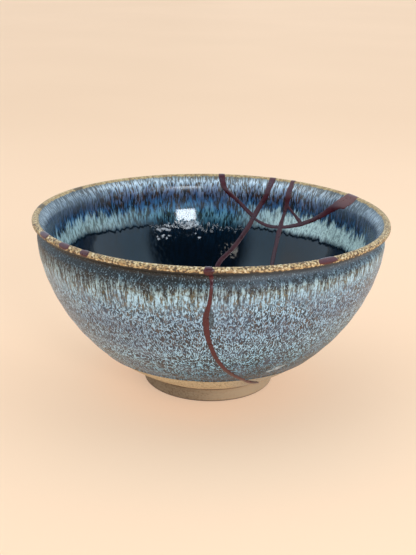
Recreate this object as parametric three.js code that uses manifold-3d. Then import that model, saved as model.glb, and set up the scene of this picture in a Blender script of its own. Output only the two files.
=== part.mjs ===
// Tea bowl with a dark streaked glaze, broken once and mended with red-brown lacquer.
// Millimetres, +Z up. The origin is the centre of the foot's underside, and the front of the bowl faces -Y.

import * as THREE from 'three';
import { mergeVertices } from 'three/addons/utils/BufferGeometryUtils.js';
import Module from 'manifold-3d';

const wasm = await Module();
wasm.setup();

// Lip: a small round roll that stands out over a pinched neck
const MOUTH_RADIUS = 62.5;
const HEIGHT = 62.4;
const LIP_RADIUS = 1.2;
const LIP_OUTER_END = -56;
const LIP_INNER_END = 150;
const NECK_RADIUS = 59.6;
const NECK_HEIGHT = 58.5;
const UNDER_LIP_RADIUS = 60.8;
const UNDER_LIP_HEIGHT = 59.4;

// Wall: upright at its top, and nearly straight where it runs down to the foot
const WALL_TOP = 55.2;
const OUTER_RADIUS = 60.9;
const OUTER_ABOVE_PULL = 1.5;
const OUTER_TOP_PULL = 6.5;
const OUTER_LOW_PULL = 35.6;
const OUTER_LOW_ANGLE = 26.8;
const INNER_RADIUS = 57;
const INNER_ABOVE_PULL = 4;
const INNER_LIP_RADIUS = 59.2;
const INNER_LIP_HEIGHT = 60.2;
const INNER_TOP_PULL = 11;
const INNER_LOW_PULL = 26.3;
const INNER_LOW_ANGLE = 20.3;

// Well: the round floor inside
const WELL_RADIUS = 20;
const WELL_EDGE_HEIGHT = 8.6;
const FLOOR_HEIGHT = 6.4;
const FLOOR_RADIUS = 9.3;
const WELL_PULL_RADIUS = 16;
const WELL_PULL_HEIGHT = 7.1;

// Foot: a turned ring round a shallow recess
const FOOT_RADIUS = 24;
const FOOT_HEIGHT = 4.7;
const FOOT_WALL_RADIUS = 23.7;
const FOOT_CHAMFER = 0.8;
const RECESS_RADIUS = 18.2;
const RECESS_DEPTH = 2.6;
const RECESS_SLOPE = 1;

// Facets round the bowl, and steps down its section
const TURN_FACETS = 52;
const OUTER_STEPS = { lip: 4, neck: 3, wall: 10 };
const INNER_STEPS = { lip: 3, underLip: 4, wall: 9, floor: 3 };

// Lacquer: laid in a shallow channel, and a little proud of the glaze
const LACQUER_DEPTH = 0.5;
const LACQUER_PROUD = 0.25;
const CLEARANCE = 0.3;
const CHANNEL_HEADROOM = 0.8;

// The mended cracks, as stations of [turn, reach, width]. Turn is in degrees round the bowl from its front,
// rising towards +X. Reach is the way down from the crest of the lip, below zero on the outside.
const CRACKS = [
  // From the foot at the back, over the rim, through the well and down the front to the foot
  [
    [180, -74, 0.8], [177, -45, 1.2], [166, -28, 1.5], [158, -12, 1.8], [156, -3, 2.6], [156, 3, 2.6],
    [157, 8, 2.2], [160, 14, 2], [164, 23, 1.8], [169, 31, 1.7], [176, 39, 1.6], [178, 60, 1.4],
    [150, 79, 1.3], [60, 80, 1.3], [35, 64, 1.3], [10, 43, 1.4], [-1, 22, 1.5], [-0.6, 3, 3],
    [-0.6, -2, 3], [0.3, -7, 0.7], [0, -13, 1.1], [-1.1, -20, 1.9], [-0.3, -28, 1.8], [3.2, -39, 1.6],
    [9, -48, 1.3], [20, -58.3, 0.9], [27.5, -63, 1.3], [34, -69, 0.7],
  ],
  // From the foot at the back right, over the rim, to the first crack in the well
  [
    [135, -74, 0.8], [145, -45, 1.2], [149, -21, 1.2], [147.4, -3, 1.6], [147.4, 2, 1.5], [147.3, 6, 2.3],
    [147.8, 11, 1.5], [148.5, 16, 1], [149, 26, 1.5], [148, 36, 1.4], [135, 60, 1.3], [95, 80, 1.3],
  ],
  // The short crack at the back, from one face over the rim to the other, meeting the first crack twice
  [
    [162, -20, 1.3], [170, -12, 1.2], [176, -3, 2.4], [176, 2, 2.7], [174.5, 6.5, 1.9], [169, 11.5, 1.2],
    [161.5, 17.6, 1.4],
  ],
  // The level crack at the back right, which ends in the widest fill of the rim
  [
    [159.5, -21, 1], [149, -22, 1.1], [137, -18, 1.4], [124, -8, 3], [118.5, -2, 8.5], [118.5, 2, 8.5],
    [122.5, 6.5, 4], [128, 10.2, 2], [139.5, 17.3, 1.5], [149, 20.2, 1.2], [155, 20.4, 1.1], [161, 18.4, 1],
  ],
  // The small branch between the last two
  [[147.7, 10.8, 1], [143, 14.6, 0.9], [139.5, 17.2, 1.6]],
];

// Chips of the lip that are filled with the same lacquer, by node name
const RIM_FILLS = {
  rim_fill_right: [[34.7, -2.3, 5], [34.7, -1, 7.5], [34.7, 0.6, 5.5]],
  rim_fill_left_1: [[-60.3, -2.2, 4.5], [-60.3, -1, 6.2], [-60.3, 0.7, 5]],
  rim_fill_left_2: [[-47.5, -2.3, 4], [-47.5, -1, 5.2], [-47.5, 0.6, 4]],
  rim_fill_left_3: [[-38.3, -2.4, 3], [-38.3, -1.2, 3.8], [-38.3, 0.3, 2.4]],
};

// How far apart the sections of a strip of lacquer are, on the wall and where it bends over the lip
const WALL_STEP = 8;
const LIP_STEP = 1;
const LIP_REACH = 5;

// How far to either side of a point the surface's slope is taken
const SLOPE_SPAN = 0.6;

const radians = THREE.MathUtils.degToRad;

function planar(x, y) {
  return new THREE.Vector2(x, y);
}

/** A point that lies a distance away from another, at an angle above level. */
function offsetBy(point, distance, angle) {
  return planar(point.x + distance * Math.cos(radians(angle)), point.y + distance * Math.sin(radians(angle)));
}

/** The lip's roll between two angles, from its crest outwards or inwards. */
function lipArc(endAngle, steps) {
  const arc = new THREE.EllipseCurve(
    MOUTH_RADIUS - LIP_RADIUS,
    HEIGHT - LIP_RADIUS,
    LIP_RADIUS,
    LIP_RADIUS,
    radians(90),
    radians(endAngle),
    endAngle < 90,
  );
  return arc.getPoints(steps);
}

/** A smooth line between two points, pulled towards two others. */
function bend(start, startPull, endPull, end, steps) {
  return new THREE.CubicBezierCurve(start, startPull, endPull, end).getPoints(steps);
}

/** The outside of the section, as points from the lip's crest down to the edge of the foot's flat face. */
function outsideLine() {
  const lip = lipArc(LIP_OUTER_END, OUTER_STEPS.lip);
  const neck = planar(NECK_RADIUS, NECK_HEIGHT);
  const wallTop = planar(OUTER_RADIUS, WALL_TOP);
  const foot = planar(FOOT_RADIUS, FOOT_HEIGHT);
  const lipPull = planar(UNDER_LIP_RADIUS, UNDER_LIP_HEIGHT);
  const neckPull = planar(NECK_RADIUS, UNDER_LIP_HEIGHT);
  const underLip = bend(lip.at(-1), lipPull, neckPull, neck, OUTER_STEPS.neck);
  const neckFoot = planar(NECK_RADIUS, NECK_HEIGHT - OUTER_ABOVE_PULL);
  const abovePull = planar(OUTER_RADIUS, WALL_TOP + OUTER_ABOVE_PULL);
  const belowNeck = bend(neck, neckFoot, abovePull, wallTop, OUTER_STEPS.neck);
  const topPull = planar(OUTER_RADIUS, WALL_TOP - OUTER_TOP_PULL);
  const lowPull = offsetBy(foot, OUTER_LOW_PULL, OUTER_LOW_ANGLE);
  const wall = bend(wallTop, topPull, lowPull, foot, OUTER_STEPS.wall);
  const footWall = [planar(FOOT_WALL_RADIUS, FOOT_HEIGHT - FOOT_CHAMFER), planar(FOOT_WALL_RADIUS, FOOT_CHAMFER)];
  const footEdge = planar(FOOT_WALL_RADIUS - FOOT_CHAMFER, 0);
  return [...lip, ...underLip.slice(1), ...belowNeck.slice(1), ...wall.slice(1), ...footWall, footEdge];
}

/** The inside of the section, as points from the lip's crest to the middle of the floor. */
function insideLine() {
  const lip = lipArc(LIP_INNER_END, INNER_STEPS.lip);
  const wallTop = planar(INNER_RADIUS, WALL_TOP);
  const wellEdge = planar(WELL_RADIUS, WELL_EDGE_HEIGHT);
  const lipPull = planar(INNER_LIP_RADIUS, INNER_LIP_HEIGHT);
  const abovePull = planar(INNER_RADIUS, WALL_TOP + INNER_ABOVE_PULL);
  const underLip = bend(lip.at(-1), lipPull, abovePull, wallTop, INNER_STEPS.underLip);
  const topPull = planar(INNER_RADIUS, WALL_TOP - INNER_TOP_PULL);
  const lowPull = offsetBy(wellEdge, INNER_LOW_PULL, INNER_LOW_ANGLE);
  const wall = bend(wallTop, topPull, lowPull, wellEdge, INNER_STEPS.wall);
  const wellPull = planar(WELL_PULL_RADIUS, WELL_PULL_HEIGHT);
  const floorPull = planar(FLOOR_RADIUS, FLOOR_HEIGHT);
  const floor = bend(wellEdge, wellPull, floorPull, planar(0, FLOOR_HEIGHT), INNER_STEPS.floor);
  return [...lip, ...underLip.slice(1), ...wall.slice(1), ...floor.slice(1)];
}

/** The point at a distance along a line of points. */
function pointAlong(line, distance) {
  let left = distance;
  for (let i = 1; i < line.length; i += 1) {
    const length = line[i].distanceTo(line[i - 1]);
    if (left <= length || i === line.length - 1) {
      return line[i - 1].clone().lerp(line[i], left / length);
    }
    left -= length;
  }
  return line.at(-1);
}

function lengthOf(line) {
  return line.slice(1).reduce((sum, point, i) => sum + point.distanceTo(line[i]), 0);
}

const OUTSIDE = outsideLine();
const INSIDE = insideLine();
const INSIDE_LENGTH = lengthOf(INSIDE);

/** The point of the section at a reach: inside above zero, and outside below it. */
function sectionAt(reach) {
  return reach < 0 ? pointAlong(OUTSIDE, -reach) : pointAlong(INSIDE, reach);
}

/** Where the surface is at a turn and a reach, and which way it faces there. */
function surfaceAt(turn, reach) {
  const here = sectionAt(reach);
  const slope = sectionAt(reach + SLOPE_SPAN).sub(sectionAt(reach - SLOPE_SPAN)).normalize();
  const out = new THREE.Vector3(Math.sin(radians(turn)), -Math.cos(radians(turn)), 0);
  const up = new THREE.Vector3(0, 0, 1);
  const point = out.clone().multiplyScalar(here.x).addScaledVector(up, here.y);
  const normal = out.clone().multiplyScalar(-slope.y).addScaledVector(up, slope.x).negate();
  return { point, normal };
}

/**
 * A crack's stations as an even run of sections. The surface is laid out flat like a disc, with the middle of
 * the floor as its centre and the outside beyond the rim, so a crack runs smoothly past the centre.
 */
function sectionsAlong(stations) {
  const flat = stations.map(([turn, reach, width]) => {
    const away = INSIDE_LENGTH - reach;
    return new THREE.Vector3(away * Math.sin(radians(turn)), -away * Math.cos(radians(turn)), width);
  });
  const route = new THREE.CatmullRomCurve3(flat, false, 'centripetal');
  const length = route.getLength();
  const sections = [];
  let travelled = 0;
  while (travelled < length) {
    const section = sectionFrom(route.getPointAt(travelled / length));
    sections.push(section);
    travelled += Math.abs(section.reach) < LIP_REACH ? LIP_STEP : WALL_STEP;
  }
  sections.push(sectionFrom(route.getPointAt(1)));
  return sections;
}

function sectionFrom(flatPoint) {
  const turn = THREE.MathUtils.radToDeg(Math.atan2(flatPoint.x, -flatPoint.y));
  const reach = INSIDE_LENGTH - Math.hypot(flatPoint.x, flatPoint.y);
  return { ...surfaceAt(turn, reach), reach, width: flatPoint.z };
}

/**
 * A strip that follows a crack: a box in as many steps as there are sections, bent so that each step lies on
 * the surface. Swollen, the same strip is the channel that the lacquer lies in.
 */
function strip(stations, swell, depth, proud) {
  const sections = sectionsAlong(stations);
  const last = sections.length - 1;
  const geometry = new THREE.BoxGeometry(1, 1, last, 1, 1, last);
  const position = geometry.getAttribute('position');
  const corner = new THREE.Vector3();
  for (let i = 0; i < position.count; i += 1) {
    const step = Math.round(position.getZ(i) + last / 2);
    const { point, normal, width } = sections[step];
    const along = sections[Math.min(step + 1, last)].point.clone().sub(sections[Math.max(step - 1, 0)].point);
    const across = new THREE.Vector3().crossVectors(normal, along).normalize();
    const overrun = (step === last ? swell : 0) - (step === 0 ? swell : 0);
    corner.copy(point);
    corner.addScaledVector(across, position.getX(i) * (width + 2 * swell));
    corner.addScaledVector(normal, position.getY(i) > 0 ? proud : -depth);
    corner.addScaledVector(along.normalize(), overrun);
    position.setXYZ(i, corner.x, corner.y, corner.z);
  }
  return solidOf(geometry);
}

/** The lacquer along a crack or over a chip. */
function lacquerStrip(stations) {
  return strip(stations, 0, LACQUER_DEPTH, LACQUER_PROUD);
}

/** The channel that a strip of lacquer lies in, open above. */
function channel(stations) {
  return strip(stations, CLEARANCE, LACQUER_DEPTH + CLEARANCE, CHANNEL_HEADROOM);
}

/** A closed geometry as a solid that can be joined and cut. */
function solidOf(geometry) {
  geometry.deleteAttribute('normal');
  geometry.deleteAttribute('uv');
  const merged = mergeVertices(geometry, 1e-4);
  const corners = merged.getIndex().array;
  const triangles = [];
  for (let i = 0; i < corners.length; i += 3) {
    const [a, b, c] = corners.slice(i, i + 3);
    if (a !== b && b !== c && c !== a) triangles.push(a, b, c);
  }
  return new wasm.Manifold(
    new wasm.Mesh({
      numProp: 3,
      vertProperties: new Float32Array(merged.getAttribute('position').array),
      triVerts: new Uint32Array(triangles),
    }),
  );
}

/** The biggest body of a solid, without the loose slivers that cutting leaves. */
function mainBody(solid) {
  return solid.decompose().reduce((biggest, body) => (body.volume() > biggest.volume() ? body : biggest));
}

/** A joined or cut solid as a named mesh. */
function meshOf(name, solid, material) {
  const { vertProperties, triVerts } = mainBody(solid).getMesh();
  const geometry = new THREE.BufferGeometry();
  geometry.setAttribute('position', new THREE.BufferAttribute(vertProperties, 3));
  geometry.setIndex(new THREE.BufferAttribute(triVerts, 1));
  geometry.computeVertexNormals();
  const mesh = new THREE.Mesh(geometry, material);
  mesh.name = name;
  return mesh;
}

/** The whole bowl, turned from its section, before any channel is cut. */
function turnedBowl() {
  const recess = [
    planar(RECESS_RADIUS + RECESS_SLOPE, 0),
    planar(RECESS_RADIUS, RECESS_DEPTH),
    planar(0, RECESS_DEPTH),
  ];
  const section = [...INSIDE.slice(1).reverse(), ...OUTSIDE, ...recess].reverse();
  const geometry = new THREE.LatheGeometry(section, TURN_FACETS);
  geometry.rotateX(Math.PI / 2);
  return solidOf(geometry);
}

function bowlSolid() {
  const mended = [...CRACKS, ...Object.values(RIM_FILLS)];
  return mended.reduce((solid, stations) => solid.subtract(channel(stations)), turnedBowl());
}

function seamSolid() {
  const strips = CRACKS.map(lacquerStrip);
  return strips.reduce((joined, next) => joined.add(next));
}

const glaze = new THREE.MeshStandardMaterial({ color: 0x6f8391, roughness: 0.25, metalness: 0 });
const lacquer = new THREE.MeshStandardMaterial({ color: 0x4e2020, roughness: 0.3, metalness: 0 });

const teaBowl = new THREE.Group();
teaBowl.add(meshOf('bowl', bowlSolid(), glaze));
teaBowl.add(meshOf('lacquer_seams', seamSolid(), lacquer));
for (const [name, stations] of Object.entries(RIM_FILLS)) {
  teaBowl.add(meshOf(name, lacquerStrip(stations), lacquer));
}

export default teaBowl;
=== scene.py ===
"""The tea bowl's looks: a fine turned bowl with its streaked glaze, and the glossy lacquer of its mends."""

import math

import bpy
import numpy as np
from mathutils import Matrix, Vector


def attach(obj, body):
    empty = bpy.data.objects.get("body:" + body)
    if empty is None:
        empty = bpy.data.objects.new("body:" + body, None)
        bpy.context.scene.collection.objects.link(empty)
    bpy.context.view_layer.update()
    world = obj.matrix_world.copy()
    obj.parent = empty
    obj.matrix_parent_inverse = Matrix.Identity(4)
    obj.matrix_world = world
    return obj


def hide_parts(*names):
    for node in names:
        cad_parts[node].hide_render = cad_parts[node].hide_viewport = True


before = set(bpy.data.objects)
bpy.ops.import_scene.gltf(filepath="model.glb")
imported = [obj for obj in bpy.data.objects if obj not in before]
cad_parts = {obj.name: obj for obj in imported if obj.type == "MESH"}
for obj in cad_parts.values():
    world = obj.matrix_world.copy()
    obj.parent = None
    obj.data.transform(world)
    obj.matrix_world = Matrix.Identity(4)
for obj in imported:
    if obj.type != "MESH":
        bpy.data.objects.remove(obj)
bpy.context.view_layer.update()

MM = 0.001

# The bowl's section in millimetres, as in the CAD source, but for the mouth's radius, which is a little smaller so
# that this round bowl stays inside the faceted solid
MOUTH_RADIUS = 62.44
HEIGHT = 62.4
LIP_RADIUS = 1.2
LIP_OUTER_END = -56
LIP_INNER_END = 150
NECK = (59.6, 58.5)
UNDER_LIP = (60.8, 59.4)
OUTER_TOP = (60.9, 55.2)
OUTER_ABOVE_PULL = 1.5
OUTER_TOP_PULL = 6.5
OUTER_LOW_PULL = 35.6
OUTER_LOW_ANGLE = 26.8
FOOT_TOP = (24.0, 4.7)
FOOT_WALL_RADIUS = 23.7
FOOT_CHAMFER = 0.8
INNER_TOP = (57.0, 55.2)
INNER_LIP_PULL = (59.2, 60.2)
INNER_ABOVE_PULL = 4
INNER_TOP_PULL = 11
INNER_LOW_PULL = 26.3
INNER_LOW_ANGLE = 20.3
WELL_EDGE = (20.0, 8.6)
WELL_PULL = (16.0, 7.1)
FLOOR_PULL_RADIUS = 9.3
FLOOR_HEIGHT = 6.4
RECESS_RADIUS = 18.2
RECESS_DEPTH = 2.6
RECESS_SLOPE = 1.0

# Where the glaze ends on the outside, as a reach below the crest of the lip
GLAZE_END = 55.9
GLAZE_THICKNESS = 0.32
GLAZE_ROLL = 0.14

# The mended cracks, as stations of [turn, reach, width]. They run as in the CAD source, and their widths
# differ from it in places.
CRACKS = [
    [
        [180, -74, 0.8], [177, -45, 1.2], [166, -28, 1.5], [158, -12, 1.8], [156, -3, 2.6], [156, 3, 2.6],
        [157, 8, 2.3], [160, 14, 2.2], [164, 23, 2.1], [169, 31, 1.9], [176, 39, 2.1], [178, 60, 1.6],
        [150, 79, 1.4], [60, 80, 1.4], [35, 64, 1.4], [10, 43, 1.5], [-1, 22, 1.5], [-0.6, 3, 1.5],
        [-0.6, -0.4, 2.2], [-0.6, -1.6, 3.4], [-0.4, -3, 2.7], [0.1, -5, 1.8], [0.3, -7, 1.1],
        [0, -13, 1.2], [-1.1, -20, 1.9], [-0.3, -28, 1.9], [3.2, -39, 2.1],
        [9, -48, 2.2], [20, -58.2, 1.7], [24, -61, 2.0],
        [28.5, -63.6, 1.4], [34, -67, 0.6],
    ],
    [
        [135, -74, 0.8], [145, -45, 1.2], [149, -21, 1.2], [147.4, -3, 1.8], [147.4, 2, 1.8], [147.3, 6, 2.6],
        [147.8, 11, 1.8], [148.5, 16, 1.4], [149, 20, 2.2], [149, 26, 1.8], [148, 36, 1.7], [135, 60, 1.5],
        [95, 80, 1.4],
    ],
    [
        [162, -20, 1.3], [170, -12, 1.4], [176, -3, 2.4], [176, 2, 2.6], [174.5, 6.5, 2.2], [169, 11.5, 1.6],
        [161.5, 17.6, 1.8],
    ],
    [
        [159.5, -21, 1], [149, -22, 1.1], [137, -18, 1.4], [124, -8, 3], [118.5, -2, 6.6], [118.6, 1.5, 7.8],
        [122.4, 5.6, 4.4], [128, 10.2, 2.4], [139.5, 17.3, 1.8], [149, 20.2, 1.4], [155, 20.4, 1.3],
        [161, 18.4, 1.2],
    ],
    [[147.7, 10.8, 1.3], [143, 14.6, 1.2], [139.5, 17.2, 2.2]],
]

# Chips of the lip filled with the same lacquer, by the node that each stands for
RIM_FILLS = {
    "rim_fill_right": [[34.7, -2.3, 5], [34.7, -1, 7.5], [34.7, 0.6, 5.5]],
    "rim_fill_left_1": [[-60.3, -2.2, 4.5], [-60.3, -1, 6.2], [-60.3, 0.7, 5]],
    "rim_fill_left_2": [[-47.5, -2.3, 4], [-47.5, -1, 5.2], [-47.5, 0.6, 4]],
    "rim_fill_left_3": [[-38.3, -2.4, 3], [-38.3, -1.2, 3.8], [-38.3, 0.3, 2.4]],
}


# The section and the surface


def bend(start, start_pull, end_pull, end, count):
    t = np.linspace(0, 1, count)[:, None]
    points = [np.array(p, float) for p in (start, start_pull, end_pull, end)]
    weights = [(1 - t) ** 3, 3 * t * (1 - t) ** 2, 3 * t**2 * (1 - t), t**3]
    return sum(w * p for w, p in zip(weights, points))


def lip_arc(end_angle, count):
    angles = np.radians(np.linspace(90, end_angle, count))
    centre = (MOUTH_RADIUS - LIP_RADIUS, HEIGHT - LIP_RADIUS)
    return np.stack([centre[0] + LIP_RADIUS * np.cos(angles), centre[1] + LIP_RADIUS * np.sin(angles)], 1)


def joined(parts):
    return np.concatenate([parts[0]] + [np.atleast_2d(p)[1:] for p in parts[1:]])


def outside_line():
    lip = lip_arc(LIP_OUTER_END, 40)
    under = bend(lip[-1], UNDER_LIP, (NECK[0], UNDER_LIP[1]), NECK, 30)
    below = bend(
        NECK,
        (NECK[0], NECK[1] - OUTER_ABOVE_PULL),
        (OUTER_TOP[0], OUTER_TOP[1] + OUTER_ABOVE_PULL),
        OUTER_TOP,
        30,
    )
    low = math.radians(OUTER_LOW_ANGLE)
    low_pull = (FOOT_TOP[0] + OUTER_LOW_PULL * math.cos(low), FOOT_TOP[1] + OUTER_LOW_PULL * math.sin(low))
    wall = bend(OUTER_TOP, (OUTER_TOP[0], OUTER_TOP[1] - OUTER_TOP_PULL), low_pull, FOOT_TOP, 300)
    return joined([lip, under, below, wall])


def inside_line():
    lip = lip_arc(LIP_INNER_END, 30)
    under = bend(lip[-1], INNER_LIP_PULL, (INNER_TOP[0], INNER_TOP[1] + INNER_ABOVE_PULL), INNER_TOP, 40)
    low = math.radians(INNER_LOW_ANGLE)
    low_pull = (WELL_EDGE[0] + INNER_LOW_PULL * math.cos(low), WELL_EDGE[1] + INNER_LOW_PULL * math.sin(low))
    wall = bend(INNER_TOP, (INNER_TOP[0], INNER_TOP[1] - INNER_TOP_PULL), low_pull, WELL_EDGE, 300)
    floor = bend(WELL_EDGE, WELL_PULL, (FLOOR_PULL_RADIUS, FLOOR_HEIGHT), (0, FLOOR_HEIGHT), 80)
    return joined([lip, under, wall, floor])


def lengths_of(line):
    return np.concatenate([[0], np.cumsum(np.hypot(*np.diff(line, axis=0).T))])


OUTSIDE = outside_line()
INSIDE = inside_line()
OUTSIDE_LENGTHS = lengths_of(OUTSIDE)
INSIDE_LENGTHS = lengths_of(INSIDE)
OUTSIDE_LENGTH = OUTSIDE_LENGTHS[-1]
INSIDE_LENGTH = INSIDE_LENGTHS[-1]


def section_at(reach):
    """Radius and height at each reach: inside above zero, and outside below it."""
    reach = np.asarray(reach, float)
    inside = [np.interp(reach, INSIDE_LENGTHS, INSIDE[:, k]) for k in (0, 1)]
    outside = [np.interp(-reach, OUTSIDE_LENGTHS, OUTSIDE[:, k]) for k in (0, 1)]
    return np.where(reach < 0, outside[0], inside[0]), np.where(reach < 0, outside[1], inside[1])


def surface_at(turn, reach):
    """Points on the surface in millimetres, and which way it faces there.

    Turn is in degrees from the front, rising towards +X.
    """
    turn = np.radians(turn)
    radius, height = section_at(reach)
    span = 0.3
    r1, h1 = section_at(np.asarray(reach) + span)
    r0, h0 = section_at(np.asarray(reach) - span)
    slope = np.stack([r1 - r0, h1 - h0], -1)
    slope /= np.linalg.norm(slope, axis=-1, keepdims=True)
    point = np.stack([radius * np.sin(turn), -radius * np.cos(turn), height], -1)
    out = np.stack([np.sin(turn), -np.cos(turn), np.zeros_like(turn)], -1)
    normal = out * slope[..., 1:2]
    normal[..., 2] = -slope[..., 0]
    return point, normal


# Smooth irregular numbers round the bowl, the same on every run


def wander(turn, seed, waves):
    """A smooth irregular run of numbers round the bowl, about -1 to 1."""
    rng = np.random.default_rng(seed)
    total = np.zeros_like(np.asarray(turn, float))
    for wave in waves:
        total += rng.uniform(0.5, 1) * np.sin(np.radians(turn) * wave + rng.uniform(0, 2 * math.pi))
    return total / (0.75 * len(waves))


# Meshes


def mesh_piece(name, points, faces, material):
    mesh = bpy.data.meshes.new(name)
    mesh.from_pydata([tuple(p) for p in np.asarray(points) * MM], [], faces)
    mesh.materials.append(material)
    mesh.shade_smooth()
    piece = bpy.data.objects.new(name, mesh)
    bpy.context.scene.collection.objects.link(piece)
    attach(piece, "root")
    return piece


def store(piece, name, values, kind="FLOAT"):
    attribute = piece.data.attributes.new(name, kind, "POINT")
    key = "vector" if kind == "FLOAT_VECTOR" else "value"
    attribute.data.foreach_set(key, np.asarray(values, np.float32).ravel())


def rows_of_reach():
    """Reaches from the foot up the outside, over the lip and down the inside, closest together at the lip."""
    outer_wall = np.linspace(-OUTSIDE_LENGTH, -GLAZE_END - 2, 26, endpoint=False)
    glaze_edge = np.linspace(-GLAZE_END - 2, -GLAZE_END + 2, 26, endpoint=False)
    wall = np.linspace(-GLAZE_END + 2, -7, 58, endpoint=False)
    lip = np.linspace(-7, 6, 56, endpoint=False)
    inner_wall = np.linspace(6, INSIDE_LENGTH - 0.6, 76)
    return np.concatenate([outer_wall, glaze_edge, wall, lip, inner_wall])


TURN_COUNT = 372
OUTER_STRETCH_AT = [-180, -90, -60, -38, -20, -8, 0, 8, 17, 37, 60, 85, 120, 180]
OUTER_STRETCH = [1.0, 1.22, 1.22, 1.2, 1.08, 1.05, 1.0, 0.95, 0.93, 0.98, 0.82, 0.82, 0.95, 1.0]
BAND_STRETCH_AT = [-180, -160, -135, -115, -80, -40, 0, 40, 80, 110, 130, 160, 180]
BAND_STRETCH = [1.1, 1.0, 0.95, 0.94, 1.0, 1.0, 1.0, 1.0, 1.0, 1.02, 1.03, 1.03, 1.1]


def build_bowl(material):
    turns = np.linspace(-180, 180, TURN_COUNT, endpoint=False)
    reaches = rows_of_reach()
    turn, reach = np.meshgrid(turns, reaches)
    point, normal = surface_at(turn, reach)
    away = -reach - GLAZE_END - 0.35 * wander(turn, 3, (3, 5, 8, 13, 21, 34))
    bare = 1 / (1 + np.exp(-away / 0.16))
    roll = np.exp(-(((away + 0.55) / 0.5) ** 2))
    lift = GLAZE_ROLL * roll - GLAZE_THICKNESS * bare
    ripple = np.where(reach > 0, 0.012, 0.05) * np.clip((np.abs(reach) - 4) / 3, 0, 1) * (1 - bare)
    lift = lift - ripple * (1 + np.sin(reach * 0.9 + 0.6 * np.sin(np.radians(turn))))
    lift = lift - 0.06 * bare * (0.5 + 0.5 * np.sin(reach * 3.1 + np.radians(turn)))
    point = point + normal * lift[..., None]
    sag = 0.12 * (wander(turn, 11, (2, 3, 5, 7)) - 1) * np.exp(-np.abs(reach) / 12)
    point[..., 2] += np.minimum(sag, 0)
    foot = [
        (FOOT_WALL_RADIUS, FOOT_TOP[1] - FOOT_CHAMFER * 0.55),
        (FOOT_WALL_RADIUS - 0.02, 3.2),
        (FOOT_WALL_RADIUS, 2.4),
        (FOOT_WALL_RADIUS - 0.03, 1.6),
        (FOOT_WALL_RADIUS - 0.03, 1.0),
        (FOOT_WALL_RADIUS - 0.15, 0.45),
        (FOOT_WALL_RADIUS - 0.45, 0.12),
        (FOOT_WALL_RADIUS - 0.9, 0.0),
        (21.2, 0.0),
        (RECESS_RADIUS + RECESS_SLOPE + 0.5, 0.0),
        (RECESS_RADIUS + RECESS_SLOPE + 0.1, 0.1),
        (RECESS_RADIUS + RECESS_SLOPE - 0.2, 0.5),
        (RECESS_RADIUS + 0.3, 1.9),
        (RECESS_RADIUS, 2.35),
        (RECESS_RADIUS - 0.5, 2.55),
        (RECESS_RADIUS - 1.2, RECESS_DEPTH),
        (14.0, RECESS_DEPTH + 0.02),
        (10.0, RECESS_DEPTH),
        (6.0, RECESS_DEPTH + 0.02),
        (2.5, RECESS_DEPTH),
        (0.6, RECESS_DEPTH + 0.05),
    ]
    below = []
    angles = np.radians(turns)
    for radius, height in reversed(foot):
        level = np.full(TURN_COUNT, height)
        below.append(np.stack([radius * np.sin(angles), -radius * np.cos(angles), level], 1))
    foot_reach = -OUTSIDE_LENGTH - np.cumsum([0.7] * len(foot))[::-1]
    points = np.concatenate([*below, point.reshape(-1, 3)])
    reach_all = np.concatenate([np.repeat(foot_reach, TURN_COUNT), reach.ravel()])
    turn_all = np.concatenate([np.tile(turns, len(foot)), turn.ravel()])
    row_count = len(foot) + len(reaches)
    faces = []
    for i in range(row_count - 1):
        a, b = i * TURN_COUNT, (i + 1) * TURN_COUNT
        for j in range(TURN_COUNT):
            k = (j + 1) % TURN_COUNT
            faces.append((a + j, a + k, b + k, b + j))
    count = len(points)
    points = np.concatenate([points, [[0, 0, RECESS_DEPTH + 0.05], [0, 0, FLOOR_HEIGHT]]])
    for j in range(TURN_COUNT):
        k = (j + 1) % TURN_COUNT
        faces.append((count, k, j))
        top = (row_count - 1) * TURN_COUNT
        faces.append((top + j, top + k, count + 1))
    piece = mesh_piece("bowl_glazed", points, faces, material)
    reach_all = np.append(reach_all, [-90, INSIDE_LENGTH])
    turn_all = np.append(turn_all, [0, 0])
    flow = np.stack([60 * np.sin(np.radians(turn_all)), -60 * np.cos(np.radians(turn_all)), reach_all], 1)
    stretch = np.interp(turn_all, BAND_STRETCH_AT, BAND_STRETCH) + 0.05 * wander(turn_all, 5, (3, 5, 8, 13))
    outer_stretch = np.interp(turn_all, OUTER_STRETCH_AT, OUTER_STRETCH) + 0.03 * wander(turn_all, 9, (5, 9, 14))
    band = np.where(reach_all > 0, reach_all / stretch, reach_all / outer_stretch)
    store(piece, "reach", reach_all)
    store(piece, "band", band)
    store(piece, "flow", flow, "FLOAT_VECTOR")
    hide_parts("bowl")
    return piece


# Lacquer


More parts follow.
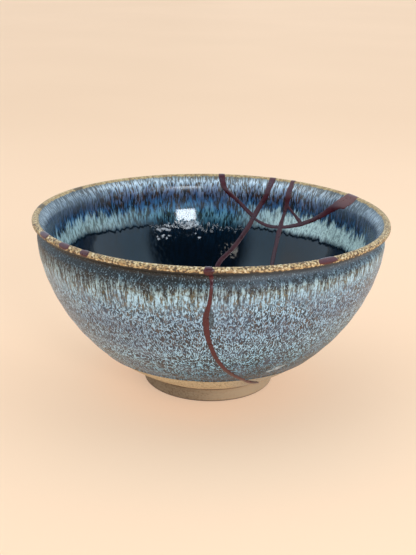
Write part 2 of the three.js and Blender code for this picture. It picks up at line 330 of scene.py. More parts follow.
def catmull(points, step):
    """A smooth centripetal run through points, in steps of about one length."""
    points = np.asarray(points, float)
    ends = [2 * points[0] - points[1], *points, 2 * points[-1] - points[-2]]
    out = []
    for i in range(1, len(ends) - 2):
        p0, p1, p2, p3 = ends[i - 1], ends[i], ends[i + 1], ends[i + 2]
        t = [0.0]
        for a, b in ((p0, p1), (p1, p2), (p2, p3)):
            t.append(t[-1] + max(np.linalg.norm(b - a), 1e-6) ** 0.5)
        count = max(2, int(np.linalg.norm(p2 - p1) / step))
        for s in np.linspace(t[1], t[2], count, endpoint=False):
            a1 = (t[1] - s) / (t[1] - t[0]) * p0 + (s - t[0]) / (t[1] - t[0]) * p1
            a2 = (t[2] - s) / (t[2] - t[1]) * p1 + (s - t[1]) / (t[2] - t[1]) * p2
            a3 = (t[3] - s) / (t[3] - t[2]) * p2 + (s - t[2]) / (t[3] - t[2]) * p3
            b1 = (t[2] - s) / (t[2] - t[0]) * a1 + (s - t[0]) / (t[2] - t[0]) * a2
            b2 = (t[3] - s) / (t[3] - t[1]) * a2 + (s - t[1]) / (t[3] - t[1]) * a3
            out.append((t[2] - s) / (t[2] - t[1]) * b1 + (s - t[1]) / (t[2] - t[1]) * b2)
    out.append(points[-1])
    return np.array(out)


ACROSS = np.array([-1, -0.96, -0.85, -0.65, -0.35, 0, 0.35, 0.65, 0.85, 0.96, 1])
PROUD = 0.2
SUNK = 0.3
STRIP_STEP = 0.45


def strip(stations, seed):
    """A domed strip of lacquer on the surface along its stations: points and faces, closed below."""
    flat = []
    for turn, reach, width in stations:
        away = INSIDE_LENGTH - reach
        flat.append([away * math.sin(math.radians(turn)), -away * math.cos(math.radians(turn)), width])
    run = catmull(flat, STRIP_STEP)
    reach = INSIDE_LENGTH - np.hypot(run[:, 0], run[:, 1])
    width = run[:, 2]
    travelled = np.concatenate([[0], np.cumsum(np.hypot(*np.diff(run[:, :2], axis=0).T))])
    rng = np.random.default_rng(seed)
    edges = []
    for side in (0, 1):
        ripple = sum(
            rng.uniform(0.4, 1) * np.sin(travelled * f + rng.uniform(0, 6)) for f in (0.35, 0.8, 1.7, 3.1)
        )
        edges.append(ripple / 4)
    forward = np.gradient(run[:, :2], axis=0)
    forward /= np.linalg.norm(forward, axis=1, keepdims=True)
    side = np.stack([forward[:, 1], -forward[:, 0]], 1)
    end_taper = np.minimum(1, np.minimum(travelled, travelled[-1] - travelled) / 0.8 + 0.25)
    half = 0.5 * np.maximum(width, 0.35) * np.sqrt(end_taper)
    top, bottom = [], []
    for u in ACROSS:
        edge = edges[0] if u < 0 else edges[1]
        grow = half * (1 + 0.16 * edge)
        r = section_at(reach)[0]
        scale = (INSIDE_LENGTH - reach) / np.maximum(r, 1.0)
        radial = run[:, :2] / np.linalg.norm(run[:, :2], axis=1, keepdims=True)
        tangent = np.stack([-radial[:, 1], radial[:, 0]], 1)
        along_radial = (side * radial).sum(1)
        along_turn = (side * tangent).sum(1)
        true_side = np.stack([along_radial, along_turn / scale], 1)
        true_side /= np.linalg.norm(true_side, axis=1, keepdims=True)
        flat_point = (
            run[:, :2]
            + radial * (true_side[:, 0] * u * grow)[:, None]
            + tangent * (true_side[:, 1] * u * grow * scale)[:, None]
        )
        t = np.degrees(np.arctan2(flat_point[:, 0], -flat_point[:, 1]))
        s = INSIDE_LENGTH - np.hypot(flat_point[:, 0], flat_point[:, 1])
        point, normal = surface_at(t, s)
        dome = PROUD * np.minimum(1, 0.55 + half * 0.35) * (1 - abs(u) ** 3) ** 0.6
        dome = dome * (0.3 + 0.7 * np.minimum(1, np.abs(s) / 5))
        if abs(u) == 1:
            dome = np.full_like(half, -0.08)
        top.append(point + normal * dome[:, None])
        bottom.append(point - normal * SUNK)
    ring = np.array(top + bottom[::-1])
    rows, columns = ring.shape[1], ring.shape[0]
    points = ring.transpose(1, 0, 2).reshape(-1, 3)
    faces = []
    for i in range(rows - 1):
        for j in range(columns):
            k = (j + 1) % columns
            faces.append((i * columns + j, i * columns + k, (i + 1) * columns + k, (i + 1) * columns + j))
    faces.append(tuple(range(columns))[::-1])
    faces.append(tuple((rows - 1) * columns + j for j in range(columns)))
    return points, faces


def build_lacquer(name, strips, material, node):
    points, faces, start = [], [], 0
    for p, f in strips:
        points.append(p)
        faces += [tuple(i + start for i in face) for face in f]
        start += len(p)
    piece = mesh_piece(name, np.concatenate(points), faces, material)
    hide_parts(node)
    return piece


# Materials


def linear(colour):
    """A colour of 0 to 255 as the eye sees it, as the light that a shader wants."""
    out = []
    for value in colour:
        c = value / 255
        out.append(c / 12.92 if c <= 0.04045 else ((c + 0.055) / 1.055) ** 2.4)
    return (*out, 1)


class Graph:
    """A material's nodes, made and joined by short calls."""

    def __init__(self, name):
        self.material = bpy.data.materials.new(name)
        self.material.use_nodes = True
        self.tree = self.material.node_tree
        self.tree.nodes.clear()

    def put(self, socket, value):
        if isinstance(value, bpy.types.NodeSocket):
            self.tree.links.new(value, socket)
        elif value is not None:
            socket.default_value = value

    def node(self, kind, inputs=(), **settings):
        node = self.tree.nodes.new(kind)
        for key, value in settings.items():
            setattr(node, key, value)
        for key, value in dict(inputs).items():
            self.put(node.inputs[key], value)
        return node

    def attribute(self, name, output="Fac"):
        return self.node("ShaderNodeAttribute", attribute_name=name).outputs[output]

    def math(self, operation, a, b=None):
        return self.node("ShaderNodeMath", {0: a, 1: b}, operation=operation).outputs[0]

    def add(self, a, b):
        return self.math("ADD", a, b)

    def times(self, a, b):
        return self.math("MULTIPLY", a, b)

    def span(self, value, low, high, to_low=0.0, to_high=1.0, smooth=True):
        inputs = {"Value": value, "From Min": low, "From Max": high, "To Min": to_low, "To Max": to_high}
        kind = "SMOOTHSTEP" if smooth else "LINEAR"
        return self.node("ShaderNodeMapRange", inputs, interpolation_type=kind, clamp=True).outputs[0]

    def scaled(self, vector, x, y, z, shift=0.0):
        inputs = {0: vector, 1: (x, y, z), 2: (shift, shift * 0.7, shift * 1.3)}
        return self.node("ShaderNodeVectorMath", inputs, operation="MULTIPLY_ADD").outputs[0]

    def noise(self, vector, detail=2.0, roughness=0.5, distortion=0.0):
        inputs = {"Vector": vector, "Scale": 1.0, "Detail": detail, "Roughness": roughness}
        inputs["Distortion"] = distortion
        return self.node("ShaderNodeTexNoise", inputs).outputs["Fac"]

    def ramp(self, value, low, high, stops):
        """Colours along a value, as a list of where and which."""
        node = self.node("ShaderNodeValToRGB", {"Fac": self.span(value, low, high, smooth=False)})
        ramp = node.color_ramp
        while len(ramp.elements) > 1:
            ramp.elements.remove(ramp.elements[-1])
        for i, (where, colour) in enumerate(stops):
            place = (where - low) / (high - low)
            element = ramp.elements[0] if i == 0 else ramp.elements.new(place)
            element.position = place
            element.color = linear(colour)
        return node.outputs["Color"]

    def mix(self, factor, a, b):
        node = self.node("ShaderNodeMix", data_type="RGBA", clamp_factor=True)
        self.put(node.inputs["Factor"], factor)
        self.put(node.inputs[6], a if isinstance(a, bpy.types.NodeSocket) else linear(a))
        self.put(node.inputs[7], b if isinstance(b, bpy.types.NodeSocket) else linear(b))
        return node.outputs[2]

    def blend(self, factor, a, b):
        node = self.node("ShaderNodeMix", data_type="FLOAT")
        self.put(node.inputs["Factor"], factor)
        self.put(node.inputs[2], a)
        self.put(node.inputs[3], b)
        return node.outputs[0]

    def finish(self, colour, roughness, height=None, distance=0.0, **constants):
        inputs = {"Base Color": colour, "Roughness": roughness}
        if height is not None:
            bump = self.node("ShaderNodeBump", {"Height": height, "Distance": distance, "Strength": 1.0})
            inputs["Normal"] = bump.outputs["Normal"]
        shader = self.node("ShaderNodeBsdfPrincipled", {**inputs, **constants})
        output = self.node("ShaderNodeOutputMaterial")
        self.tree.links.new(shader.outputs[0], output.inputs["Surface"])
        return self.material


# Dark marks on the crest of the lip, as turn and size in millimetres
LIP_MARKS = [[-94, 3.2], [-122, 3.0]]


def glaze_material():
    g = Graph("streaked_glaze")
    reach = g.attribute("reach")
    band = g.attribute("band")
    flow = g.attribute("flow", "Vector")
    down = g.times(reach, -1.0)

    # Irregular patterns: runs are long streaks, worms are the short mottle, and drift is broad
    runs = g.noise(g.scaled(flow, 1 / 0.8, 1 / 0.8, 1 / 6.5), 3.0, 0.55)
    fine_runs = g.noise(g.scaled(flow, 1 / 0.42, 1 / 0.42, 1 / 2.6, 9), 2.0, 0.5)
    worms = g.noise(g.scaled(flow, 1 / 0.7, 1 / 0.7, 1 / 1.4, 17), 1.0, 0.5, 0.6)
    crumbs = g.noise(g.scaled(flow, 1 / 0.3, 1 / 0.3, 1 / 0.58, 31), 1.0, 0.5)
    rust_spots = g.noise(g.scaled(flow, 1 / 0.9, 1 / 0.9, 1 / 1.7, 43), 2.0, 0.55)
    drift = g.noise(g.scaled(flow, 1 / 9, 1 / 9, 1 / 8, 57), 2.0, 0.5)
    blots = g.noise(g.scaled(flow, 1 / 1.1, 1 / 1.1, 1 / 1.2, 97), 2.0, 0.5)
    lobes = g.noise(g.scaled(flow, 1 / 2.6, 1 / 2.6, 1 / 14, 71), 2.0, 0.5)

    # Outside: how far down the glaze is, with ragged edges between its bands
    ragged = g.add(g.span(runs, 0.3, 0.7, -1.5, 1.5, False), g.span(lobes, 0.3, 0.7, -0.9, 0.9, False))
    depth = g.add(g.times(band, -1.0), g.times(ragged, g.span(down, 5.0, 9.0)))
    sides = g.node("ShaderNodeSeparateXYZ", {0: flow})
    across, behind = sides.outputs[0], sides.outputs[1]
    outer_dark = g.ramp(depth, 0, 60, [
        (0, (56, 46, 38)), (3, (24, 19, 15)), (6, (16, 13, 10)), (8, (6, 6, 5)), (10, (8, 9, 8)),
        (11.5, (40, 38, 30)), (13.5, (52, 60, 60)), (17, (50, 66, 78)), (24, (40, 50, 62)), (34, (42, 53, 65)),
        (42, (20, 38, 51)), (48, (5, 21, 33)), (56, (3, 15, 24)),
    ])
    outer_pale = g.ramp(depth, 0, 60, [
        (0, (78, 68, 58)), (3, (42, 36, 30)), (6, (34, 32, 28)), (8, (38, 46, 48)), (9.6, (98, 124, 132)),
        (11.2, (160, 182, 182)), (13.5, (184, 215, 227)), (17, (174, 208, 226)), (24, (150, 181, 203)),
        (34, (170, 208, 228)), (42, (146, 192, 214)), (48, (104, 156, 182)), (54, (72, 120, 144)),
        (56, (60, 104, 128)),
    ])
    outer_rust = g.ramp(depth, 0, 60, [
        (0, (70, 56, 46)), (7, (44, 38, 32)), (10, (64, 56, 34)), (12.5, (122, 108, 76)), (16, (108, 100, 90)),
        (28, (86, 68, 60)), (42, (52, 52, 54)), (50, (22, 34, 40)), (56, (14, 27, 34)),
    ])
    to_worms = g.span(depth, 13.0, 19.0)
    place = g.node("ShaderNodeTexCoord").outputs["Object"]
    is_low = g.span(g.add(down, g.span(lobes, 0.3, 0.7, -2.0, 2.0, False)), 37.0, 38.5)
    low_worms = g.noise(g.scaled(flow, 1 / 1.12, 1 / 1.12, 1 / 1.45, 19), 1.0, 0.5, 0.5)
    low_crumbs = g.noise(g.scaled(flow, 1 / 0.57, 1 / 0.57, 1 / 0.8, 37), 1.0, 0.5)
    high_worms = g.noise(g.scaled(flow, 1 / 0.74, 1 / 0.74, 1 / 1.6, 17), 1.0, 0.5, 0.5)
    high_crumbs = g.noise(g.scaled(flow, 1 / 0.35, 1 / 0.35, 1 / 0.78, 31), 1.0, 0.5)
    outer_worms = g.blend(is_low, high_worms, low_worms)
    outer_crumbs = g.blend(is_low, high_crumbs, low_crumbs)
    away = g.math("ABSOLUTE", g.add(outer_worms, -0.5))
    veins = g.span(away, 0.1, 0.0, 0.0, 1.0, False)
    mottle = g.add(g.times(veins, 0.46), g.times(outer_crumbs, 0.8))
    mottled = g.span(mottle, g.span(depth, 30, 46, 0.545, 0.585), g.span(depth, 30, 46, 0.73, 0.7))
    fine = g.add(g.times(fine_runs, 0.36), g.times(high_crumbs, 0.26))
    streaked = g.span(g.add(g.times(runs, 0.48), fine), 0.47, 0.63)
    outer_pattern = g.blend(to_worms, streaked, mottled)
    rusty = g.times(g.span(rust_spots, 0.46, 0.6), g.span(outer_pattern, 0.7, 0.2))
    outer = g.mix(outer_pattern, outer_dark, outer_pale)
    how_rusty = g.times(g.span(depth, 6.0, 11.0, 0.25, 0.9), g.span(depth, 15, 22, 1.0, 0.8))
    outer = g.mix(g.times(rusty, how_rusty), outer, outer_rust)
    hazy = g.times(g.span(across, -2, 16, 0.0, 0.35), g.span(depth, 12.0, 8.0))
    outer = g.mix(g.times(hazy, g.span(depth, 2.0, 4.0)), outer, (104, 118, 132))
    tinted = g.times(g.span(drift, 0.4, 0.65, 0.0, 0.2), g.span(depth, 8.0, 12.0))
    outer = g.mix(tinted, outer, (104, 120, 148))

    fringe = g.times(g.times(g.span(depth, 7.2, 8.4), g.span(depth, 11.4, 10.0)), g.span(rust_spots, 0.47, 0.55))
    outer = g.mix(g.times(fringe, 0.85), outer, (8, 7, 6))
    drips = g.times(g.times(g.span(depth, 9.5, 11.0), g.span(depth, 15.0, 12.5)), g.span(blots, 0.52, 0.6))
    outer = g.mix(g.times(drips, 0.6), outer, (74, 58, 26))

    flecks = g.times(g.span(crumbs, 0.6, 0.68), g.times(g.span(depth, 3.0, 6.0), g.span(depth, 13.0, 10.0)))
    outer = g.mix(g.times(flecks, g.span(depth, 5.0, 9.0, 0.4, 0.9)), outer, (146, 170, 180))

    # A dark patch beside the front seam, and a few pale scuffs low on the right
    beside = g.node("ShaderNodeVectorMath", {0: flow, 1: (-0.5, 60, 20)}, operation="ADD").outputs[0]
    patch = g.node("ShaderNodeVectorMath", {0: g.scaled(beside, 1 / 0.9, 1 / 9, 1 / 4.6)}, operation="LENGTH")
    off_patch = g.add(patch.outputs["Value"], g.span(runs, 0.3, 0.7, -0.3, 0.3))
    outer = g.mix(g.span(off_patch, 1.05, 0.7, 0, 0.8), outer, (44, 56, 62))
    scuffed = g.node("ShaderNodeVectorMath", {0: flow, 1: (-29.4, 52.4, 48.8)}, operation="ADD").outputs[0]
    along = g.node("ShaderNodeVectorMath", {0: scuffed, 1: (0.82, 0.46, 0.33)}, operation="DOT_PRODUCT").outputs["Value"]
    over = g.node("ShaderNodeVectorMath", {0: scuffed, 1: (-0.29, -0.16, 0.94)}, operation="DOT_PRODUCT").outputs["Value"]
    spread = g.add(g.times(g.times(along, along), 1 / 26), g.times(g.times(over, over), 1 / 3.2))
    drawn = g.node("ShaderNodeCombineXYZ", {0: g.times(along, 1 / 4.5), 1: g.times(over, 1 / 0.55)})
    stroke = g.noise(drawn.outputs[0])
    scuffs = g.times(g.span(spread, 1.0, 0.5), g.span(stroke, 0.47, 0.53))
    outer = g.mix(g.times(scuffs, 0.9), outer, (200, 216, 220))

    # Inside: pale, brown, blue and pale bands, and then the dark well
    inner_runs = g.noise(g.scaled(flow, 1 / 0.95, 1 / 0.95, 1 / 4.2, 5), 3.0, 0.6)
    inner_ragged = g.add(g.span(inner_runs, 0.3, 0.7, -1.8, 1.8, False), g.span(lobes, 0.3, 0.7, -1.8, 1.8, False))
    calm = g.span(g.math("ABSOLUTE", across), 5, 26, 0.75, 0.3)
    raggedness = g.times(g.span(band, 3.0, 7.0, 0.25, 1.0), g.blend(g.span(band, 15.0, 18.5), 1.0, calm))
    inner_depth = g.add(band, g.times(inner_ragged, raggedness))
    inner_dark = g.ramp(inner_depth, 0, 30, [
        (0, (132, 122, 102)), (1.8, (112, 112, 108)), (2.9, (122, 127, 130)), (3.8, (130, 144, 154)),
        (4.8, (66, 74, 80)), (6.5, (28, 28, 33)),
        (8.5, (14, 11, 15)), (10.2, (3, 5, 10)), (11.5, (2, 9, 18)), (13.5, (5, 20, 36)), (15.5, (9, 29, 45)),
        (17.5, (9, 29, 42)), (19.5, (5, 20, 33)), (21.5, (2, 11, 21)), (30, (2, 9, 17)),
    ])
    inner_pale = g.ramp(inner_depth, 0, 30, [
        (0, (174, 162, 138)), (1.8, (150, 152, 148)), (2.8, (196, 201, 204)), (3.6, (222, 227, 230)),
        (4.8, (182, 193, 202)),
        (6.5, (138, 150, 170)), (8.5, (110, 120, 146)), (10.2, (76, 94, 126)), (11.5, (52, 86, 124)),
        (13.5, (62, 112, 150)), (15.5, (90, 138, 164)), (17.5, (106, 148, 160)), (19.5, (60, 98, 114)),
        (21.5, (10, 32, 48)), (30, (3, 15, 27)),
    ])
    inner_rust = g.ramp(inner_depth, 0, 30, [
        (0, (124, 108, 88)), (4, (100, 82, 66)), (7, (78, 50, 36)), (10.5, (32, 19, 15)), (13, (12, 22, 30)),
        (16, (44, 56, 46)), (19, (20, 32, 34)), (22, (4, 14, 22)), (30, (2, 9, 17)),
    ])
    streaks = g.span(g.add(g.times(inner_runs, 0.5), g.times(fine_runs, 0.5)), 0.43, 0.56)
    clouds = g.span(g.add(g.times(worms, 0.6), g.times(crumbs, 0.4)), 0.42, 0.6)
    cloudy = g.times(g.span(across, 15, 42, 0, 0.6), g.span(band, 10, 14))
    inner_pattern = g.blend(cloudy, streaks, clouds)
    inner = g.mix(inner_pattern, inner_dark, inner_pale)
    inner_rusty = g.times(g.span(rust_spots, 0.44, 0.55), g.span(inner_pattern, 0.95, 0.4))
    inner = g.mix(g.times(inner_rusty, 0.85), inner, inner_rust)
    cream_band = g.times(g.span(inner_depth, 12.5, 16.0), g.span(inner_depth, 21.5, 19.0))
    cream_side = g.add(g.span(across, 8, 36, 0, 1.0), g.span(across, -25, -50, 0, 0.55))
    cream = g.times(g.times(cream_band, cream_side), g.span(inner_pattern, 0.0, 0.8, 0.4, 1.0))
    inner = g.mix(cream, inner, (208, 222, 210))
    shaded = g.times(g.span(g.math("ABSOLUTE", across), 34, 54), g.span(band, 13.0, 7.0))
    inner = g.mix(g.times(shaded, g.span(inner_pattern, 0.0, 1.0, 0.9, 0.6)), inner, (64, 74, 80))

    # The lip, where the glaze has run off the clay, and the bare clay below the glaze
    is_inside = g.span(reach, -0.02, 0.02)
    glaze = g.mix(is_inside, outer, inner)
    specks = g.noise(g.scaled(flow, 1 / 0.66, 1 / 0.66, 1 / 0.6, 83), 1.0, 0.5)
    lip = g.mix(g.span(blots, 0.35, 0.65), (196, 162, 110), (158, 118, 72))
    near_side = g.span(behind, 10, -20, 0.35, 1.0)
    lip = g.mix(g.times(g.span(specks, 0.52, 0.6), g.times(near_side, 0.85)), lip, (56, 34, 20))
    # Pale cream specks on the lip, stronger on the near side: pale clay and painted highlights
    lip = g.mix(g.times(g.span(specks, 0.42, 0.32), g.times(near_side, 0.75)), lip, (236, 214, 174))
    wave = g.span(blots, 0.3, 0.7, -0.25, 0.25, False)
    for turn, size in LIP_MARKS:
        point = [60 * math.sin(math.radians(turn)), -60 * math.cos(math.radians(turn)), -0.3]
        off = g.node("ShaderNodeVectorMath", {0: flow, 1: point}, operation="DISTANCE").outputs["Value"]
        mark = g.span(g.add(off, g.times(blots, 2.0)), size + 1, size + 0.4)
        lip = g.mix(g.times(mark, 0.8), lip, (74, 60, 42))
    on_lip = g.times(g.span(g.add(reach, wave), 1.55, 1.25), g.span(g.add(down, wave), 2.35, 2.05))
    crumb = g.noise(g.scaled(place, 1300, 1300, 1300, 11.1), 3.0, 0.6)
    rings = g.noise(g.scaled(flow, 1 / 16, 1 / 16, 1 / 0.35, 123), 2.0, 0.5)
    axes = g.node("ShaderNodeSeparateXYZ", {0: place})
    aside, low = axes.outputs[0], axes.outputs[2]
    clay = g.mix(g.span(rings, 0.35, 0.65), (184, 164, 130), (206, 188, 152))
    clay = g.mix(g.times(g.span(crumb, 0.54, 0.66), 0.8), clay, (98, 72, 48))
    clay = g.mix(g.times(g.span(crumb, 0.44, 0.32), 0.7), clay, (216, 196, 162))
    foot = g.span(down, OUTSIDE_LENGTH - 0.4, OUTSIDE_LENGTH + 0.2)
    clay = g.mix(g.span(aside, 0.004, 0.014, 0, 0.5), clay, (156, 154, 148))
    # The foot ring darker and browner all round, partly its own clay and partly painted shade, then paler towards
    # the right side, which is painted light
    clay = g.mix(g.times(foot, 0.75), clay, (84, 58, 35))
    clay = g.mix(g.times(foot, g.span(aside, -0.012, 0.016, 0, 0.75)), clay, (188, 160, 126))
    # A dark line where the wall meets the foot: painted shade in the corner under the wall
    foot_corner_shade = g.span(g.math("ABSOLUTE", g.add(g.add(down, -OUTSIDE_LENGTH), 0.1)), 0.6, 0.2)
    clay = g.mix(g.times(foot_corner_shade, g.span(drift, 0.35, 0.6, 0.4, 0.8)), clay, (74, 52, 34))
    clay = g.mix(g.span(down, GLAZE_END + 1.0, GLAZE_END + 0.2, 0.0, 0.45), clay, (120, 86, 54))
    # The lowest millimetre of the foot darker: painted contact shadow where the foot meets the floor
    clay = g.mix(g.span(low, 0.0009, 0.0003, 0.0, 0.75), clay, (84, 66, 50))
    edge = g.span(drift, 0.3, 0.7, -0.3, 0.3, False)
    on_clay = g.span(g.add(down, edge), GLAZE_END - 0.12, GLAZE_END + 0.12)
    colour = g.mix(on_lip, glaze, lip)
    colour = g.mix(on_clay, colour, clay)

    outer_rough = g.span(depth, 5.5, 20.0, 0.5, 0.36)
    glaze_rough = g.blend(is_inside, outer_rough, g.span(inner_depth, 10.0, 15.0, 0.24, 0.08))
    rough = g.blend(on_lip, glaze_rough, 0.62)
    rough = g.blend(on_clay, rough, 0.8)
    by_window = g.times(g.span(g.math("ABSOLUTE", g.add(across, 8)), 24, 14), g.span(behind, 0, 8))
    dimples = g.noise(g.scaled(flow, 1 / 2.7, 1 / 2.7, 1 / 2.3, 145), 1.0, 0.4)
    below_window = g.times(g.span(reach, 19.0, 20.0), g.span(reach, 21, 28, 2.0, 4.5))
    below_window = g.times(below_window, g.span(reach, 46, 29, 0.07, 1.0))
    dimpled = g.times(g.times(g.add(dimples, -0.5), g.blend(by_window, 0.3, below_window)), g.span(reach, 78, 60))
    inner_relief = g.add(g.times(inner_pattern, g.span(inner_depth, 14, 9, 0.0, 0.5)), dimpled)
    edge_step = g.span(inner_depth, 21.0, 22.2, 0.0, -6.0)
    inner_relief = g.add(inner_relief, g.times(edge_step, g.blend(by_window, 1.0, 0.3)))
    relief = g.blend(is_inside, g.times(outer_pattern, 0.8), inner_relief)
    relief = g.blend(on_lip, relief, g.times(specks, 1.6))
    relief = g.blend(on_clay, relief, g.add(g.times(crumb, 1.4), g.times(rings, 1.2)))
    return g.finish(colour, rough, relief, 0.00004, IOR=1.5)


def spot(turn, reach):
    """A place on the surface, in metres."""
    return tuple(surface_at(turn, reach)[0] * MM)


def lacquer_material():
    g = Graph("red_brown_lacquer")
    place = g.node("ShaderNodeTexCoord").outputs["Object"]
    cloud = g.noise(g.scaled(place, 290, 270, 310, 4.37), 3.0, 0.55)
    grain = g.noise(g.scaled(place, 2370, 2410, 2290, 8.61), 2.0, 0.6)
    colour = g.mix(g.span(cloud, 0.35, 0.65), (64, 16, 23), (79, 22, 29))
    colour = g.mix(g.times(g.span(grain, 0.58, 0.7), 0.5), colour, (118, 66, 62))
    from_fill = g.node("ShaderNodeVectorMath", {0: place, 1: spot(118.6, 0)}, operation="DISTANCE")
    colour = g.mix(g.span(from_fill.outputs["Value"], 0.009, 0.005, 0, 0.65), colour, (112, 54, 44))
    from_end = g.node("ShaderNodeVectorMath", {0: place, 1: spot(27, -63)}, operation="DISTANCE")
    colour = g.mix(g.span(from_end.outputs["Value"], 0.0045, 0.0025, 0, 0.8), colour, (60, 34, 44))
    rough = g.span(cloud, 0.3, 0.7, 0.25, 0.4)
    return g.finish(colour, rough, IOR=1.5)


def floor_material():
    g = Graph("pale_paper_glowing")
    place = g.node("ShaderNodeTexCoord").outputs["Object"]
    broad = g.noise(g.scaled(place, 3, 3, 3), 2.0, 0.5)
    colour = g.mix(g.span(broad, 0.3, 0.7), FLOOR_COLOUR, FLOOR_COLOUR_OTHER)
    sides = g.node("ShaderNodeSeparateXYZ", {0: place})
    # The floor glows, which is painted light: brighter towards the front and the right, and it lifts the shadow
    # under the bowl
    near = g.span(sides.outputs[1], 0.65, 0.05, 0.0, 0.85)
    painted_glow_colour = g.mix(g.add(near, g.span(sides.outputs[0], -0.12, 0.12, 0.0, 0.25)), FLOOR_GLOW_FAR, FLOOR_GLOW)
    glow = {"Emission Color": painted_glow_colour, "Emission Strength": FLOOR_GLOW_STRENGTH}
    return g.finish(colour, 0.9, IOR=1.3, **glow)


FLOOR_COLOUR = (202, 165, 133)
FLOOR_COLOUR_OTHER = (205, 168, 136)
FLOOR_GLOW = (241, 211, 184)
FLOOR_GLOW_FAR = (213, 181, 152)
FLOOR_GLOW_STRENGTH = 0.48


def build_floor():
    mesh = bpy.data.meshes.new("floor")
    mesh.from_pydata([(-30, -30, 0), (30, -30, 0), (30, 30, 0), (-30, 30, 0)], [], [(0, 1, 2, 3)])
    mesh.materials.append(floor_material())
    floor = bpy.data.objects.new("floor", mesh)
    bpy.context.scene.collection.objects.link(floor)


# Light and camera


def soft_light(name, azimuth, elevation, distance, width, height, power, colour):
    """A soft panel that shines at the bowl. Azimuth is in degrees from the front, rising towards +X."""
    data = bpy.data.lights.new(name, "AREA")
    data.shape = "RECTANGLE"
    data.size = width
    data.size_y = height
    data.energy = power
    data.color = colour
    light = bpy.data.objects.new(name, data)
    a, e = math.radians(azimuth), math.radians(elevation)
    aim = Vector((0, 0, 0.04))
    place = Vector((math.sin(a) * math.cos(e), -math.cos(a) * math.cos(e), math.sin(e))) * distance
    light.location = aim + place
    light.rotation_euler = (-place).to_track_quat("-Z", "Y").to_euler()
    bpy.context.scene.collection.objects.link(light)


def build_world():
    """Pale soft light from all round, strongest overhead, with a dim patch on the viewer's side."""
    world = bpy.data.worlds.new("studio")
    bpy.context.scene.world = world
    world.use_nodes = True
    tree = world.node_tree
    background = tree.nodes["Background"]

    def node(kind, *inputs, **settings):
        made = tree.nodes.new(kind)
        for key, value in settings.items():
            setattr(made, key, value)
        for i, value in enumerate(inputs):
            if isinstance(value, bpy.types.NodeSocket):
                tree.links.new(value, made.inputs[i])
            elif value is not None:
                made.inputs[i].default_value = value
        return made

    def span(value, low, high, to_low, to_high):
        kind = "SMOOTHSTEP"
        return node("ShaderNodeMapRange", value, low, high, to_low, to_high, interpolation_type=kind).outputs[0]

    direction = node("ShaderNodeTexCoord").outputs["Generated"]
    height = node("ShaderNodeSeparateXYZ", direction).outputs[2]
    a, e = math.radians(DIM_AZIMUTH), math.radians(DIM_ELEVATION)
    centre = (math.sin(a) * math.cos(e), -math.cos(a) * math.cos(e), math.sin(e))
    near = node("ShaderNodeVectorMath", direction, centre, operation="DOT_PRODUCT").outputs["Value"]
    dim = span(near, math.cos(math.radians(DIM_OUTER)), math.cos(math.radians(DIM_INNER)), 0.0, 1.0)
    dim = node("ShaderNodeMath", dim, span(height, DIM_FROM, DIM_FULL, 0.0, 1.0), operation="MULTIPLY").outputs[0]
    overhead = span(height, 0.55, 0.95, SIDE_LIGHT, TOP_LIGHT)
    strength = span(dim, 0.0, 1.0, 1.0, DIM_LIGHT)
    strength = node("ShaderNodeMath", strength, overhead, operation="MULTIPLY").outputs[0]
    tree.links.new(strength, background.inputs["Strength"])
    colour = node("ShaderNodeMix", span(height, 0.4, 0.8, 0.0, 1.0), data_type="RGBA")
    colour.inputs[6].default_value = SIDE_COLOUR
    colour.inputs[7].default_value = TOP_COLOUR
    by_patch = span(near, math.cos(math.radians(COOL_OUTER)), math.cos(math.radians(COOL_INNER)), 0.0, 1.0)
    cool = node("ShaderNodeMath", by_patch, span(height, 0.25, 0.5, 0.0, 1.0), operation="MULTIPLY").outputs[0]
    tinted = node("ShaderNodeMix", cool, data_type="RGBA")
    tree.links.new(colour.outputs[2], tinted.inputs[6])
    tinted.inputs[7].default_value = COOL_COLOUR
    tree.links.new(tinted.outputs[2], background.inputs["Color"])


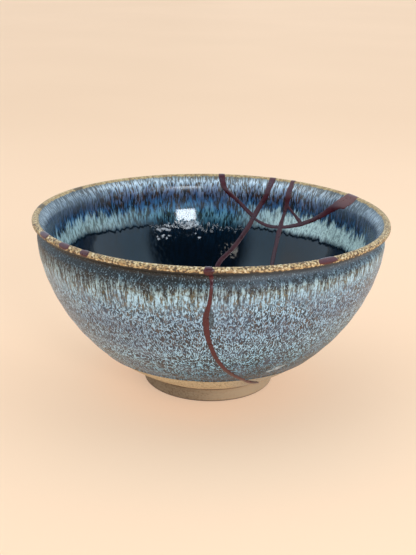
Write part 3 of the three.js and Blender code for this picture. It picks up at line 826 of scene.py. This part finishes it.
SIDE_COLOUR = (0.75, 0.98, 1.19, 1)
TOP_COLOUR = (1.0, 0.985, 0.96, 1)
SIDE_LIGHT = 1.25
TOP_LIGHT = 1.75
DIM_LIGHT = 0.03
DIM_AZIMUTH = 11
DIM_ELEVATION = 42
DIM_INNER = 22
DIM_OUTER = 46
COOL_COLOUR = (0.64, 0.95, 1.22, 1)
COOL_INNER = 56
COOL_OUTER = 68
DIM_FROM = 0.16
DIM_FULL = 0.3


def build_light():
    build_world()
    soft_light("window", 21, 21, 0.9, 0.23, 0.17, 2.9, (0.84, 0.92, 1.0))
    soft_light("window_low", 17, 30.5, 0.9, 0.2, 0.07, 0.5, (0.8, 0.9, 1.0))
    soft_light("window_side", 42, 31, 0.9, 0.12, 0.06, 0.26, (0.8, 0.9, 1.0))
    soft_light("lamp", -21, 46, 0.9, 0.07, 0.12, 0.09, (1.0, 0.96, 0.86))
    bpy.context.scene.view_settings.view_transform = "Standard"


CAMERA_DISTANCE = 340.0
CAMERA_ELEVATION = 19.02
CAMERA_ROLL = 1.18
CAMERA_AIM = (-0.76, 0.0, 37.98)
FOCAL_PIXELS = 941.9
IMAGE_HEIGHT = 555
SENSOR = 36.0


def build_camera():
    e, roll = math.radians(CAMERA_ELEVATION), math.radians(CAMERA_ROLL)
    back = Vector((0, -math.cos(e), math.sin(e)))
    right = Vector((1, 0, 0))
    up = right.cross(-back)
    turned_right = math.cos(roll) * right + math.sin(roll) * up
    turned_up = -math.sin(roll) * right + math.cos(roll) * up
    data = bpy.data.cameras.new("camera")
    data.sensor_width = SENSOR
    data.lens = FOCAL_PIXELS * SENSOR / IMAGE_HEIGHT
    camera = bpy.data.objects.new("camera", data)
    place = (Vector(CAMERA_AIM) + back * CAMERA_DISTANCE) * MM
    axes = Matrix((turned_right, turned_up, back)).transposed().to_4x4()
    camera.matrix_world = Matrix.Translation(place) @ axes
    bpy.context.scene.collection.objects.link(camera)
    bpy.context.scene.camera = camera


build_camera()
build_light()
build_floor()
build_bowl(glaze_material())
lacquer = lacquer_material()
build_lacquer("lacquer_web", [strip(s, i + 1) for i, s in enumerate(CRACKS)], lacquer, "lacquer_seams")
for number, (node, stations) in enumerate(RIM_FILLS.items()):
    build_lacquer(node + "_lacquer", [strip(stations, 20 + number)], lacquer, node)
